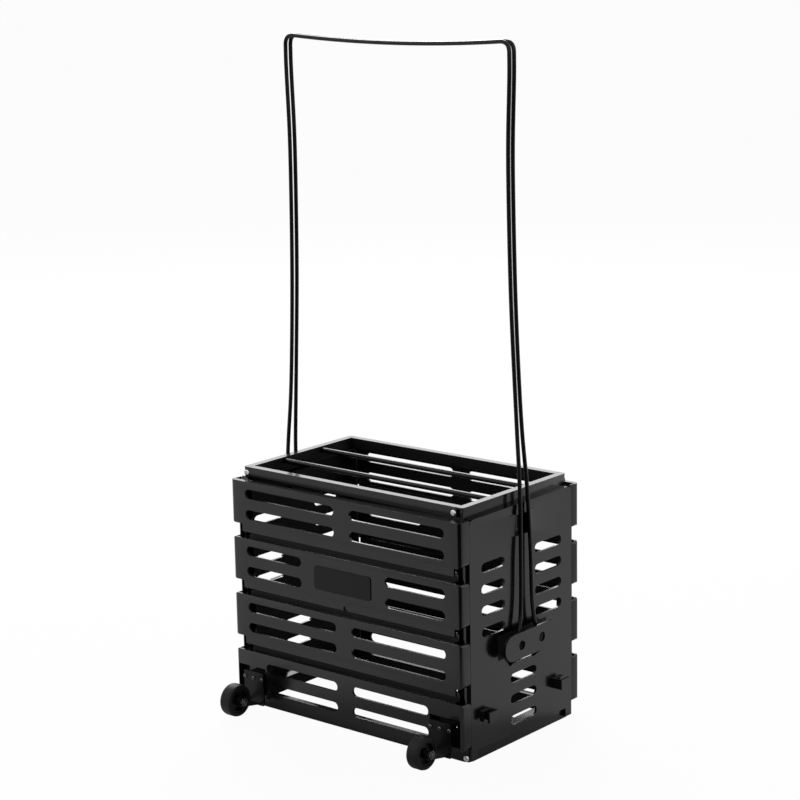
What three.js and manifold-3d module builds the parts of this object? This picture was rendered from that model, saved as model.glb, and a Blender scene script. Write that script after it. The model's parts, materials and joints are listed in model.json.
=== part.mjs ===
// A ball cart: a slatted plastic basket with bars across its two mouths, two small wheels and
// two wire handles that swing down and lock as legs. Millimetres, +Z up. The front, with the
// wheels and the badge plate, faces -Y, and the floor is z = 0.

import * as THREE from 'three';
import * as BufferGeometryUtils from 'three/addons/utils/BufferGeometryUtils.js';
import Module from 'manifold-3d';

const wasm = await Module();
wasm.setup();

// Basket
const basketLength = 358.5;
const basketDepth = 233.1;
const wall = 3;
const fitGap = 0.3;
const cutOverrun = 1;

// Slats, counted from the top
const slatCount = 4;
const slatPitch = 72.4;
const slatFaceHeight = 54.1;
const lowestSlatHeight = 57.8;
const slatReturnDepth = 16.5;
const slatCornerRadius = 5.5;
const slatEndRadius = 5.5;
const lipHeight = 11.2;
const lipRecess = 4.5;
const lipNotchWidth = 6;
const lipNotchHeight = 5.5;
const rimHeight = 9.5;
const postOuterGap = 0.4;
const postWidth = 9.8;
const postDepth = 6.3;
const postRibThickness = 1.5;

// Slots in the slats
const slotHeight = 12;
const upperSlotDepth = 15.4;
const lowerSlotDepth = 41.4;
const lowestSlatSlotDrop = 2;
const slotEndMargin = 23.6;
const slotMiddleGap = 24;
const slotCasterMargin = 2;

// Badge plate, left bare
const badgeLength = 89;
const badgeHeight = 29.4;
const badgeThickness = 1.2;
const badgeTopDepth = 14.6;
const badgeRadius = 4;
const badgeSlotMargin = 21.3;

// Frames round the two mouths, and the bars across them
const topFrameEndInset = 8.1;
const frameSideInset = 15.9;
const railWidth = 9.3;
const topFrameHeight = 13.9;
const bottomFrameHeight = 17.6;
const topCornerRadius = 4;
const bottomCornerRadius = 8;
const railPocketDepth = 4;
const railPocketWall = 2;
const barDiameter = 6.5;
const barSpacing = 70;
const barInset = 5;
const barSeat = 5;

// Screws of the frames and the casters
const frameScrewInset = 4.7;
const topScrewDrop = 7.9;
const bottomScrewHeight = 4.8;
const frameScrewDiameter = 3.8;
const frameScrewBite = 6;
const frameScrewRecess = 1.5;
const frameScrewSeatGap = 0.9;
const frameScrewHeadDiameter = 8.4;
const frameScrewHeadHeight = 2.6;
const casterScrewCount = 3;
const casterScrewDiameter = 3;
const casterScrewHeadDiameter = 5;
const casterScrewHeadHeight = 1.7;
const casterScrewSpacing = 13.9;
const casterScrewDrop = 8;

// End panels
const panelTopRadius = 8;
const panelBottomHeight = 13.6;
const panelLedge = 19.8;
const panelFootWidth = 12;
const panelFootBottom = 2.5;
const endSlotPitch = 26;
const endSlotTopDepth = 62;
const endSlotLowDepth = 211;
const endSlotTopRows = 4;
const endSlotLowRows = 3;
const frontSlotSpan = { from: -78, to: -33.3 };
const rearSlotSpan = { from: 26, to: 79.3 };
const middleSlotSpan = { from: -23.5, to: 28 };

// Clip that holds the raised handles
const clipWindowWidth = 26;
const clipWindowHeight = 25.5;
const clipTopDepth = 13;
const clipTabWidth = 14.5;
const clipTabGap = 0.5;
const clipTabRise = 2;
const clipPocketDepth = 8;

// Pivot plate, which stands off the panel and keeps the wires' turned-in ends in their holes
const pivotDepth = 166.4;
const pivotSpacing = 39.5;
const pivotPlateLength = 104;
const pivotPlateHeight = 32;
const pivotPlateGap = 11.5;
const pivotAccessDiameter = 12;
const pivotWindowWidth = 43;
const pivotWindowBelow = 10.5;
const pivotWindowAbove = 4;
const gussetRise = 3.5;
const gussetDrop = 12;

// Handles
const wireDiameter = 5;
const wirePlateGap = 1.1;
const handleHeight = 700;
const wireWaistInset = 12.1;
const wireTopSpacing = 8.8;
const pinBendRadius = 4;
const topBendRadius = 12;
const topBarSag = 5.5;

// Leg catches
const catchSide = 71.7;
const catchDrop = 73.8;
const catchWidth = 17;
const catchHeight = 12.5;

// Casters
const casterInset = 31.25;
const casterPlateWidth = 32;
const casterPlateHeight = 42.6;
const casterPlateThickness = 3;
const casterPlateBottom = 8;
const casterPlateRadius = 2;
const casterFootInset = 3;
const casterPocketDepth = 10;
const casterPocketInnerGap = 1.5;
const casterPocketTopGap = 5.5;
const casterPocketEnd = 3.8;
const legWindowInset = 5;
const legWindowReachShare = 0.5;
const legWindowTopShare = 0.72;
const legWindowLowShare = 0.2;
const casterReach = 36.8;
const legThickness = 2.5;
const legSideGap = 1;
const legEndRadius = 7;
const legInset = 2;
const legTurnShare = 0.6;
const wheelDiameter = 40;
const wheelWidth = 16.5;
const wheelLift = 3.5;
const tyreThickness = 5;
const tyreShoulder = 2.5;
const hubRimThickness = 2.2;
const hubRimSetback = 0.8;
const hubWebThickness = 5;
const hubBossDiameter = 12;
const axleDiameter = 6;
const axleHeadDiameter = 9;
const axleHeadHeight = 2.6;
const nutAcrossFlats = 10;
const nutSides = 6;
const nutThickness = 4;
const axleTail = 1.2;

// Steps of the round surfaces: an arc takes two for each step given here
const cornerSteps = 2;
const plateEndSteps = 4;
const wireSteps = 5;
const roundSteps = 24;
const smallRoundSteps = 12;
const shoulderSteps = 3;
const pivotHoleSteps = 16;
const pinSteps = 1;
const pinBendSteps = 4;
const wireSideSteps = 22;
const topBendSteps = 4;
const topBarSteps = 8;

// Places that follow from the sizes
const halfLength = basketLength / 2;
const halfDepth = basketDepth / 2;
const seatHeight = bottomFrameHeight;
const lowestSlatTop = seatHeight + lowestSlatHeight;
const slatsTop = lowestSlatTop + (slatCount - 1) * slatPitch;
const slatInner = halfDepth - slatReturnDepth;
const postOuter = halfLength - wall - postOuterGap;
const postInner = postOuter - postWidth;
const lipHalf = postInner - fitGap;
const topFrameHalf = halfLength - topFrameEndInset;
const bottomFrameHalf = halfLength - wall - fitGap;
const halfFrameDepth = halfDepth - frameSideInset;
const panelHalf = slatInner - fitGap;
const pivotHeight = slatsTop - pivotDepth;
const wireRadius = wireDiameter / 2;
const wireStandoff = pivotPlateGap - wirePlateGap - wireRadius;
const wheelRadius = wheelDiameter / 2;
const axleHeight = wheelRadius + wheelLift;
const slatFace = -halfDepth;
const axleDepth = slatFace - casterReach;
const casterPlateTop = casterPlateBottom + casterPlateHeight;
const casterPocketTop = casterPlateTop + casterPocketTopGap;
const casterCentre = halfLength - casterInset;
const casterPocketInner = casterCentre - casterPlateWidth / 2 - casterPocketInnerGap;
const casterPocketOuter = halfLength - casterPocketEnd;
const casterPocketFloor = slatFace + casterPocketDepth;
const sideNames = [['left', -1], ['right', 1]];

// Solids: closed geometries become manifold solids, and solids become meshes.
function solidOf(geometry) {
  geometry.deleteAttribute('normal');
  geometry.deleteAttribute('uv');
  const merged = BufferGeometryUtils.mergeVertices(geometry);
  return new wasm.Manifold(new wasm.Mesh({
    numProp: 3,
    vertProperties: merged.attributes.position.array,
    triVerts: Uint32Array.from(merged.index.array),
  }));
}

function geometryOf(solid) {
  const mesh = solid.getMesh();
  const geometry = new THREE.BufferGeometry();
  geometry.setAttribute('position', new THREE.BufferAttribute(mesh.vertProperties, mesh.numProp));
  geometry.setIndex(new THREE.BufferAttribute(mesh.triVerts, 1));
  return geometry;
}

function joined(solids) {
  return solids.reduce((whole, solid) => whole.add(solid));
}

function cutBy(solid, cutters) {
  return cutters.reduce((rest, cutter) => rest.subtract(cutter), solid);
}

// An outline drawn in one of the three planes and thickened from low to high across it.
const axisX = new THREE.Vector3(1, 0, 0);
const axisY = new THREE.Vector3(0, 1, 0);
const axisZ = new THREE.Vector3(0, 0, 1);

const planeBases = {
  XY: new THREE.Matrix4().makeBasis(axisX, axisY, axisZ),
  YZ: new THREE.Matrix4().makeBasis(axisY, axisZ, axisX),
  XZ: new THREE.Matrix4().makeBasis(axisX, axisZ, axisY.clone().negate()),
};

function prism(outline, plane, low, high, curveSegments = cornerSteps) {
  const geometry = new THREE.ExtrudeGeometry(outline, {
    depth: high - low,
    bevelEnabled: false,
    curveSegments,
  });
  geometry.translate(0, 0, plane === 'XZ' ? -high : low);
  geometry.applyMatrix4(planeBases[plane]);
  return solidOf(geometry);
}

function box(from, to) {
  const size = new THREE.Vector3().subVectors(to, from);
  const middle = new THREE.Vector3().addVectors(from, to).multiplyScalar(1 / 2);
  const geometry = new THREE.BoxGeometry(size.x, size.y, size.z);
  geometry.translate(middle.x, middle.y, middle.z);
  return solidOf(geometry);
}

// A round solid or ring about an axis through centre: profile points are [radius, place along it].
function turned(profile, direction, centre, steps = roundSteps) {
  const points = profile.map(([radius, along]) => new THREE.Vector2(radius, along));
  const geometry = new THREE.LatheGeometry(points, steps);
  const turn = new THREE.Quaternion().setFromUnitVectors(axisY, direction);
  geometry.applyQuaternion(turn);
  geometry.translate(centre.x, centre.y, centre.z);
  return solidOf(geometry);
}

function rod(diameter, from, to, steps = smallRoundSteps) {
  const direction = new THREE.Vector3().subVectors(to, from);
  const length = direction.length();
  const profile = [[0, 0], [diameter / 2, 0], [diameter / 2, length], [0, length]];
  return turned(profile, direction.normalize(), from, steps);
}

// A rectangle with round corners; equal radius and half height make a slot.
function roundedRectangle(left, right, low, high, radius) {
  const shape = new THREE.Shape();
  const quarter = Math.PI / 2;
  shape.absarc(right - radius, low + radius, radius, -quarter, 0, false);
  shape.absarc(right - radius, high - radius, radius, 0, quarter, false);
  shape.absarc(left + radius, high - radius, radius, quarter, 2 * quarter, false);
  shape.absarc(left + radius, low + radius, radius, 2 * quarter, 3 * quarter, false);
  return shape;
}

function slotOutline(from, to, height) {
  const radius = slotHeight / 2;
  return roundedRectangle(from, to, height - radius, height + radius, radius);
}

// Slats: a face plate whose ends turn the corner, with ledges inside and a recessed lip below.
function slatOutline(filled) {
  const outline = new THREE.Shape();
  const quarter = Math.PI / 2;
  const arcX = halfLength - slatCornerRadius;
  const arcY = slatFace + slatCornerRadius;
  outline.moveTo(-halfLength, -slatInner);
  outline.absarc(-arcX, arcY, slatCornerRadius, 2 * quarter, 3 * quarter, false);
  outline.absarc(arcX, arcY, slatCornerRadius, 3 * quarter, 4 * quarter, false);
  outline.lineTo(halfLength, -slatInner);
  if (!filled) {
    outline.lineTo(halfLength - wall, -slatInner);
    outline.absarc(arcX, arcY, slatCornerRadius - wall, 4 * quarter, 3 * quarter, true);
    outline.absarc(-arcX, arcY, slatCornerRadius - wall, 3 * quarter, 2 * quarter, true);
    outline.lineTo(-halfLength + wall, -slatInner);
  }
  return outline;
}

function slatSlots(top, innerEnd, outerEnd, drop) {
  const slots = [];
  for (const depth of [upperSlotDepth, lowerSlotDepth]) {
    const height = top - depth - drop;
    const outline = slotOutline(innerEnd, outerEnd, height);
    const mirrored = slotOutline(-outerEnd, -innerEnd, height);
    const low = slatFace - cutOverrun;
    const high = slatFace + wall + cutOverrun;
    slots.push(prism(outline, 'XZ', low, high));
    slots.push(prism(mirrored, 'XZ', low, high));
  }
  return slots;
}

function slat(index, { hasBadgePlace, hasCasters }) {
  const isTop = index === 0;
  const isLowest = index === slatCount - 1;
  const top = slatsTop - index * slatPitch;
  const bottom = isLowest ? seatHeight : top - slatFaceHeight;
  const pieces = [prism(slatOutline(false), 'XY', bottom, top)];
  if (isTop) {
    pieces.push(prism(slatOutline(true), 'XY', top - wall, top));
  } else {
    const ledgeFront = slatFace + wall / 2;
    pieces.push(box(
      new THREE.Vector3(-lipHalf, ledgeFront, top - wall),
      new THREE.Vector3(lipHalf, -slatInner, top),
    ));
    pieces.push(box(
      new THREE.Vector3(-lipHalf, -slatInner - wall, top - wall),
      new THREE.Vector3(lipHalf, -slatInner, top + rimHeight),
    ));
  }
  if (isLowest) {
    pieces.push(prism(slatOutline(true), 'XY', bottom, bottom + wall));
  }
  const trimTop = isTop ? top + slatEndRadius : top;
  const trim = roundedRectangle(-halfLength, halfLength, bottom, trimTop, slatEndRadius);
  const low = slatFace - cutOverrun;
  const high = -slatInner + cutOverrun;
  const middle = new THREE.Vector3(-lipHalf, low, bottom - cutOverrun);
  const middleEnd = new THREE.Vector3(lipHalf, high, top + rimHeight + cutOverrun);
  const trimmer = prism(trim, 'XZ', low, high).add(box(middle, middleEnd));
  let solid = joined(pieces).intersect(trimmer);
  if (!isLowest) {
    const lipFront = slatFace + lipRecess;
    solid = solid.add(box(
      new THREE.Vector3(-lipHalf, slatFace + wall / 2, bottom),
      new THREE.Vector3(lipHalf, lipFront + wall, bottom + wall),
    ));
    solid = solid.add(box(
      new THREE.Vector3(-lipHalf, lipFront, bottom - lipHeight),
      new THREE.Vector3(lipHalf, lipFront + wall, bottom + wall),
    ));
  }
  if (hasCasters) {
    solid = withCasterPockets(solid);
  }
  const innerEnd = hasBadgePlace ? badgeLength / 2 + badgeSlotMargin : slotMiddleGap / 2;
  const outerEnd = hasCasters ? casterPocketInner - slotCasterMargin : halfLength - slotEndMargin;
  const cutters = slatSlots(top, innerEnd, outerEnd, isLowest ? lowestSlatSlotDrop : 0);
  if (hasCasters) {
    cutters.push(...casterScrewHoles());
  }
  if (hasBadgePlace) {
    cutters.push(lipNotch(bottom - lipHeight));
  }
  return cutBy(solid, cutters);
}

function lipNotch(lipBottom) {
  const lipBack = slatFace + lipRecess + wall;
  return box(
    new THREE.Vector3(-lipNotchWidth / 2, slatFace, lipBottom - cutOverrun),
    new THREE.Vector3(lipNotchWidth / 2, lipBack + cutOverrun, lipBottom + lipNotchHeight),
  );
}

// The lowest front slat has a pocket at each end, open below, that a caster stands in.
function withCasterPockets(slatSolid) {
  let solid = slatSolid;
  for (const side of [-1, 1]) {
    const edges = [side * casterPocketInner, side * casterPocketOuter];
    const left = Math.min(...edges);
    const right = Math.max(...edges);
    const walls = box(
      new THREE.Vector3(left - wall / 2, slatFace + wall / 2, seatHeight),
      new THREE.Vector3(right + wall / 2, casterPocketFloor + wall, casterPocketTop + wall),
    );
    const pocket = box(
      new THREE.Vector3(left, slatFace - cutOverrun, seatHeight - cutOverrun),
      new THREE.Vector3(right, casterPocketFloor, casterPocketTop),
    );
    solid = solid.add(walls).subtract(pocket);
  }
  return solid;
}

// Handle wire: each row of the table is a share of the handle's height above the pivot, of the
// wire's way in from the pivot to its narrow waist, and of its way out to the pivot's spacing.
const sideShares = [
  [0.051, 0.055, 0.5],
  [0.159, 0.11, 0.33],
  [0.266, 0.25, 0.17],
  [0.351, 0.48, 0.04],
  [0.423, 0.635, 0],
  [0.58, 0.885, 0],
  [0.751, 1, 0],
  [0.837, 1, 0],
  [0.951, 0.875, 0],
];

const wireOuter = halfLength + wireStandoff;
const wireTravel = wireStandoff + wireWaistInset;
const wireSpread = (pivotSpacing - wireTopSpacing) / 2;

function sidePoints() {
  const points = sideShares.map(([heightShare, inwardShare, spreadShare]) => new THREE.Vector3(
    wireOuter - inwardShare * wireTravel,
    -(wireTopSpacing / 2 + spreadShare * wireSpread),
    pivotHeight + heightShare * handleHeight,
  ));
  const pivot = new THREE.Vector3(wireOuter, -pivotSpacing / 2, pivotHeight);
  const rise = new THREE.Vector3().subVectors(points[0], pivot).setLength(pinBendRadius);
  points.unshift(pivot.add(rise));
  const last = points[points.length - 1];
  points.push(new THREE.Vector3(last.x, last.y, pivotHeight + handleHeight - topBendRadius));
  return points;
}

const sideCurve = new THREE.CatmullRomCurve3(sidePoints());

// The wire's centre at a height above the pivot, found by halving the curve's range.
function wireCentreAt(height) {
  let low = 0;
  let high = 1;
  const halvings = 40;
  for (let count = 0; count < halvings; count += 1) {
    const middle = (low + high) / 2;
    if (sideCurve.getPoint(middle).z < pivotHeight + height) {
      low = middle;
    } else {
      high = middle;
    }
  }
  return sideCurve.getPoint(low);
}

// A path whose stretches each have their own number of steps, so that tight bends stay round.
class SteppedPath extends THREE.Curve {
  constructor(stretches) {
    super();
    this.stretches = stretches;
    this.steps = stretches.reduce((sum, stretch) => sum + stretch.steps, 0);
  }

  getPoint(share, target = new THREE.Vector3()) {
    let step = share * this.steps;
    let index = 0;
    while (index < this.stretches.length - 1 && step > this.stretches[index].steps) {
      step -= this.stretches[index].steps;
      index += 1;
    }
    const stretch = this.stretches[index];
    return stretch.curve.getPoint(Math.min(step / stretch.steps, 1), target);
  }

  getPointAt(share, target) {
    return this.getPoint(share, target);
  }

  getTangentAt(share, target) {
    return this.getTangent(share, target);
  }
}

function mirroredCurve(curve, pieces) {
  const points = curve.getPoints(pieces).reverse();
  return new THREE.CatmullRomCurve3(points.map((point) => new THREE.Vector3(-point.x, point.y, point.z)));
}

function handlePath() {
  const points = sidePoints();
  const first = points[0];
  const last = points[points.length - 1];
  const pinTip = halfLength - wall - fitGap;
  const pivot = new THREE.Vector3(wireOuter, -pivotSpacing / 2, pivotHeight);
  const pinStart = new THREE.Vector3(wireOuter - pinBendRadius, pivot.y, pivotHeight);
  const pin = new THREE.LineCurve3(new THREE.Vector3(pinTip, pivot.y, pivotHeight), pinStart);
  const pinBend = new THREE.QuadraticBezierCurve3(pinStart, pivot, first);
  const barEnd = new THREE.Vector3(last.x - topBendRadius, last.y, pivotHeight + handleHeight);
  const corner = new THREE.Vector3(last.x, last.y, pivotHeight + handleHeight);
  const topBend = new THREE.QuadraticBezierCurve3(last, corner, barEnd);
  const farBarEnd = new THREE.Vector3(-barEnd.x, barEnd.y, barEnd.z);
  const sagPoint = new THREE.Vector3(0, barEnd.y, barEnd.z - 2 * topBarSag);
  const topBar = new THREE.QuadraticBezierCurve3(barEnd, sagPoint, farBarEnd);
  const half = [
    { curve: pin, steps: pinSteps },
    { curve: pinBend, steps: pinBendSteps },
    { curve: sideCurve, steps: wireSideSteps },
    { curve: topBend, steps: topBendSteps },
  ];
  const otherHalf = half.map(({ curve, steps }) => ({ curve: mirroredCurve(curve, steps), steps }));
  return new SteppedPath([...half, { curve: topBar, steps: topBarSteps }, ...otherHalf.reverse()]);
}

function handleSolid() {
  const section = new THREE.Shape();
  section.absarc(0, 0, wireRadius, 0, 2 * Math.PI, false);
  const path = handlePath();
  const geometry = new THREE.ExtrudeGeometry(section, {
    steps: path.steps,
    curveSegments: wireSteps,
    extrudePath: path,
  });
  return solidOf(geometry);
}

// End panel, drawn for the +X end: a tray whose side walls carry pairs of ribs that hold the slats.
function panelOutline(inset, bottom) {
  const half = panelHalf - inset;
  const top = slatsTop - inset;
  const shape = new THREE.Shape();
  const radius = panelTopRadius - inset;
  shape.moveTo(-half, bottom);
  shape.lineTo(half, bottom);
  shape.absarc(half - radius, top - radius, radius, 0, Math.PI / 2, false);
  shape.absarc(-half + radius, top - radius, radius, Math.PI / 2, Math.PI, false);
  return shape;
}

function endSlots() {
  const low = halfLength - wall - cutOverrun;
  const high = halfLength + cutOverrun;
  const slots = [];
  for (let row = 0; row < endSlotTopRows; row += 1) {
    const height = slatsTop - endSlotTopDepth - row * endSlotPitch;
    for (const span of [frontSlotSpan, rearSlotSpan]) {
      slots.push(prism(slotOutline(span.from, span.to, height), 'YZ', low, high));
    }
  }
  for (let row = 0; row < endSlotLowRows; row += 1) {
    const height = slatsTop - endSlotLowDepth - row * endSlotPitch;
    const outline = slotOutline(middleSlotSpan.from, middleSlotSpan.to, height);
    slots.push(prism(outline, 'YZ', low, high));
  }
  return slots;
}

// Two ramps beside the clip's window; the wires snap in between them and pass just above them.
function clipTabs() {
  const top = slatsTop - clipTopDepth + clipTabRise;
  const bottom = top - clipWindowHeight;
  const inner = clipWindowWidth / 2 + clipTabGap;
  const wireFace = wireCentreAt(top - pivotHeight).x - wireRadius;
  const ridge = wireFace - fitGap;
  return [1, -1].map((side) => {
    const ramp = new THREE.Shape();
    ramp.moveTo(halfLength - wall / 2, side * inner);
    ramp.lineTo(ridge, side * inner);
    ramp.lineTo(halfLength, side * (inner + clipTabWidth));
    ramp.lineTo(halfLength - wall / 2, side * (inner + clipTabWidth));
    return prism(ramp, 'XY', bottom, top);
  });
}

function pivotPlate() {
  const radius = pivotPlateHeight / 2;
  const half = pivotPlateLength / 2;
  const low = halfLength + pivotPlateGap;
  const high = low + wall;
  const outline = roundedRectangle(-half, half, pivotHeight - radius, pivotHeight + radius, radius);
  const plate = prism(outline, 'YZ', low, high, plateEndSteps);
  return cutBy(plate, pivotHoles(pivotAccessDiameter, low, high));
}

// A pair of round holes on the handles' pivots, through a wall between two distances from the middle.
function pivotHoles(diameter, low, high) {
  return [-1, 1].map((side) => rod(
    diameter,
    new THREE.Vector3(low - cutOverrun, side * pivotSpacing / 2, pivotHeight),
    new THREE.Vector3(high + cutOverrun, side * pivotSpacing / 2, pivotHeight),
    pivotHoleSteps,
  ));
}

// Gussets join the pivot plate's lower edge to the panel, beside the window behind it.
function pivotGussets() {
  const plateBottom = pivotHeight - pivotPlateHeight / 2;
  const inner = pivotWindowWidth / 2 + fitGap;
  const plateInner = halfLength + pivotPlateGap;
  const panelInner = halfLength - wall / 2;
  return [1, -1].map((side) => {
    const gusset = new THREE.Shape();
    gusset.moveTo(panelInner, plateBottom + gussetRise);
    gusset.lineTo(panelInner, plateBottom - gussetDrop);
    gusset.lineTo(halfLength, plateBottom - gussetDrop);
    gusset.lineTo(plateInner + wall / 2, plateBottom);
    gusset.lineTo(plateInner + wall / 2, plateBottom + gussetRise);
    const edges = [side * inner, side * (inner + wall)];
    return prism(gusset, 'XZ', Math.min(...edges), Math.max(...edges));
  });
}

// Leg catch: a block with a channel that the lowered wire swings into and stops against.
const catchRadius = Math.hypot(catchSide - pivotSpacing / 2, catchDrop);
const catchWire = wireCentreAt(catchRadius);
const catchFromUp = Math.atan2(catchSide - pivotSpacing / 2, -catchDrop);
const catchLean = Math.atan2(pivotSpacing / 2 + catchWire.y, catchRadius);
const legAngle = catchFromUp + catchLean;

function legCatch(side) {
  const stopFace = wireRadius + fitGap;
  const outer = catchWire.x + wireRadius + fitGap;
  const inner = catchWire.x - wireRadius - fitGap;
  const heightMiddle = pivotHeight - catchDrop;
  const block = box(
    new THREE.Vector3(halfLength - wall / 2, -catchWidth / 2, -catchHeight / 2),
    new THREE.Vector3(outer + wall, catchWidth / 2, catchHeight / 2),
  );
  const reach = catchWidth + catchHeight;
  const channel = new THREE.Shape();
  channel.moveTo(-reach, -reach);
  channel.lineTo(stopFace, -reach);
  channel.lineTo(stopFace, reach);
  channel.lineTo(-reach, reach);
  const cutter = new THREE.ExtrudeGeometry(channel, { depth: outer - inner, bevelEnabled: false });
  cutter.translate(0, 0, inner);
  cutter.applyMatrix4(planeBases.YZ);
  cutter.rotateX(legAngle - Math.PI);
  const catchShape = block.subtract(solidOf(cutter));
  const placed = side < 0 ? catchShape : catchShape.mirror([0, 1, 0]);
  return placed.translate([0, side * catchSide, heightMiddle]);
}

// A box between two distances from the cart's middle on one side of it.
function sidedBox(side, [left, right], [near, far], [bottom, top]) {
  const edges = [side * near, side * far];
  return box(
    new THREE.Vector3(left, Math.min(...edges), bottom),
    new THREE.Vector3(right, Math.max(...edges), top),
  );
}

function endPanel() {
  const inside = halfLength - panelLedge;
  const shell = prism(panelOutline(0, seatHeight), 'YZ', inside, halfLength);
  const hollowOutline = panelOutline(wall, seatHeight + wall);
  const hollow = prism(hollowOutline, 'YZ', inside - cutOverrun, halfLength - wall);
  const apron = prism(panelOutline(0, panelBottomHeight), 'YZ', halfLength - wall, halfLength);
  const postTop = slatsTop - wall - fitGap;
  const postBottom = casterPocketTop + wall + fitGap;
  const postFront = panelHalf + postDepth;
  const ribs = [];
  for (const side of [1, -1]) {
    for (const ribInner of [postInner, postOuter - postRibThickness]) {
      ribs.push(sidedBox(side, [ribInner, ribInner + postRibThickness], [panelHalf - wall, postFront],
        [postBottom, postTop]));
    }
  }
  const feet = [1, -1].map((side) => sidedBox(side, [halfLength - wall, halfLength],
    [panelHalf - panelFootWidth, panelHalf], [panelFootBottom, seatHeight]));
  const windowTop = slatsTop - clipTopDepth;
  const windowBottom = windowTop - clipWindowHeight;
  const windowHalf = clipWindowWidth / 2;
  const clipCup = box(
    new THREE.Vector3(halfLength - clipPocketDepth - wall, -windowHalf - wall, windowBottom - wall),
    new THREE.Vector3(halfLength - wall / 2, windowHalf + wall, windowTop + wall),
  );
  const clipWindow = box(
    new THREE.Vector3(halfLength - clipPocketDepth, -windowHalf, windowBottom),
    new THREE.Vector3(halfLength + cutOverrun, windowHalf, windowTop),
  );
  const body = joined([shell.subtract(hollow), apron, clipCup, ...ribs, ...feet]);
  const plateBottom = pivotHeight - pivotPlateHeight / 2;
  const pivotWindow = box(
    new THREE.Vector3(halfLength - wall - cutOverrun, -pivotWindowWidth / 2, plateBottom - pivotWindowBelow),
    new THREE.Vector3(halfLength + cutOverrun, pivotWindowWidth / 2, plateBottom + pivotWindowAbove),
  );
  const bearings = pivotHoles(wireDiameter + 2 * fitGap, halfLength - wall, halfLength);
  const opened = cutBy(body, [...endSlots(), clipWindow, pivotWindow, ...bearings]);
  return joined([opened, ...clipTabs(), pivotPlate(), ...pivotGussets(), legCatch(-1), legCatch(1)]);
}

// Frames: two end rails the full depth and two long rails between them. Each corner has one screw:
// in the long rail at two opposite corners, and in the end of the end rail at the other two. The
// bottom frame is the top one turned over, so its screws change ends.
function longRailHalf(frameHalf) {
  return frameHalf - railWidth - fitGap;
}

function barHole(side, sign, frameHalf, height) {
  const inner = sign * (frameHalf - railWidth - cutOverrun);
  const outer = sign * (frameHalf - railWidth + barSeat + fitGap);
  return rod(
    barDiameter + 2 * fitGap,
    new THREE.Vector3(inner, side * barSpacing / 2, height),
    new THREE.Vector3(outer, side * barSpacing / 2, height),
  );
}

// Each frame screw: where its head sits and the way it is driven.
function frameScrewPlaces(frameHalf, turn, height) {
  const inLongRail = longRailHalf(frameHalf) - frameScrewInset;
  const inEndRail = frameHalf - railWidth / 2;
  const places = [];
  for (const [label, facing] of [['front', -1], ['back', 1]]) {
    for (const [sideName, side] of sideNames) {
      const along = side === -facing * turn ? inLongRail : inEndRail;
      places.push({
        label: `${label}_${sideName}`,
        seat: new THREE.Vector3(side * along, facing * (halfFrameDepth - frameScrewRecess), height),
        drive: new THREE.Vector3(0, -facing, 0),
      });
    }
  }
  return places;
}

function panHeadProfile(headDiameter, headHeight, shankDiameter, shankLength) {
  const head = headDiameter / 2;
  const shank = shankDiameter / 2;
  const crownShares = [[1, 0.45], [0.75, 0.88], [0, 1]];
  const crown = crownShares.map(([out, up]) => [head * out, -fitGap - headHeight * up]);
  const body = [[0, shankLength], [shank, shankLength], [shank, -fitGap], [head, -fitGap]];
  return [...body, ...crown].reverse();
}

function frameScrew({ seat, drive }) {
  const profile = panHeadProfile(
    frameScrewHeadDiameter, frameScrewHeadHeight, frameScrewDiameter, frameScrewBite,
  );
  return turned(profile, drive, seat, smallRoundSteps);
}

function frameScrewHoles(places) {
  const holes = [];
  for (const { seat, drive } of places) {
    const outside = seat.clone().addScaledVector(drive, -frameScrewRecess - cutOverrun);
    const tip = seat.clone().addScaledVector(drive, frameScrewBite + fitGap);
    holes.push(rod(frameScrewDiameter + 2 * fitGap, outside, tip));
    holes.push(rod(frameScrewHeadDiameter + 2 * frameScrewSeatGap, outside, seat));
  }
  return holes;
}

// An end rail has a pocket in each end that takes no screw.
function endRail(sign, frame, holes) {
  const { frameHalf, low, high, turn, cornerRadius } = frame;
  const outer = sign * frameHalf;
  const inner = sign * (frameHalf - railWidth);
  const outline = new THREE.Shape();
  outline.moveTo(inner, -halfFrameDepth);
  outline.lineTo(outer - sign * cornerRadius, -halfFrameDepth);
  outline.quadraticCurveTo(outer, -halfFrameDepth, outer, -halfFrameDepth + cornerRadius);
  outline.lineTo(outer, halfFrameDepth - cornerRadius);
  outline.quadraticCurveTo(outer, halfFrameDepth, outer - sign * cornerRadius, halfFrameDepth);
  outline.lineTo(inner, halfFrameDepth);
  const edges = [inner - sign * cutOverrun, outer - sign * (cornerRadius - railPocketWall)];
  const pocketEnd = -sign * turn * (halfFrameDepth - railPocketDepth);
  const pocketOpen = -sign * turn * (halfFrameDepth + cutOverrun);
  const pocket = box(
    new THREE.Vector3(Math.min(...edges), Math.min(pocketEnd, pocketOpen), low + railPocketWall),
    new THREE.Vector3(Math.max(...edges), Math.max(pocketEnd, pocketOpen), high - railPocketWall),
  );
  return cutBy(prism(outline, 'XY', low, high), [pocket, ...holes]);
}

function longRail(sign, { frameHalf, low, high }, holes) {
  const edges = [sign * halfFrameDepth, sign * (halfFrameDepth - railWidth)];
  const half = longRailHalf(frameHalf);
  const rail = box(
    new THREE.Vector3(-half, Math.min(...edges), low),
    new THREE.Vector3(half, Math.max(...edges), high),
  );
  return cutBy(rail, holes);
}

function bar(side, frameHalf, height) {
  const end = frameHalf - railWidth + barSeat;
  return rod(
    barDiameter,
    new THREE.Vector3(-end, side * barSpacing / 2, height),
    new THREE.Vector3(end, side * barSpacing / 2, height),
  );
}

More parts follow.
